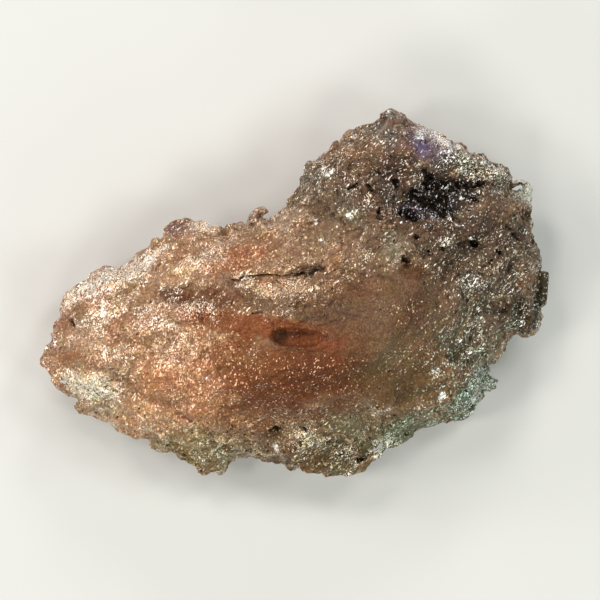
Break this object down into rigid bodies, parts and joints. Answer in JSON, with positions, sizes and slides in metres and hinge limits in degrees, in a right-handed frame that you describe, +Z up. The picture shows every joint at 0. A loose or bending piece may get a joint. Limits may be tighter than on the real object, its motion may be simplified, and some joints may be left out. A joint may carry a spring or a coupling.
{
  "type": "morganite crystal",
  "caption": "Loose, deeply etched peach-pink beryl crystal, a broad irregular lump with a thin frayed edge, lying flat on its broken back.",
  "frame": {"origin": "on the resting plane, under the middle of the bounding box", "axes": "+Z up, out of the etched face; +X along the longest extent, from the pale thin end towards the end with the lobe; +Y towards the lobe's peak"},
  "size_m": [0.0714, 0.0518, 0.027],
  "materials": {
    "morganite": "clear to milky peach-pink beryl, glossy, its surface etched into fine glittering facets and pits, paler and frosted at the thin end and along the edge"
  },
  "bodies": {
    "root": {"morganite": "morganite"}
  },
  "joints": []
}
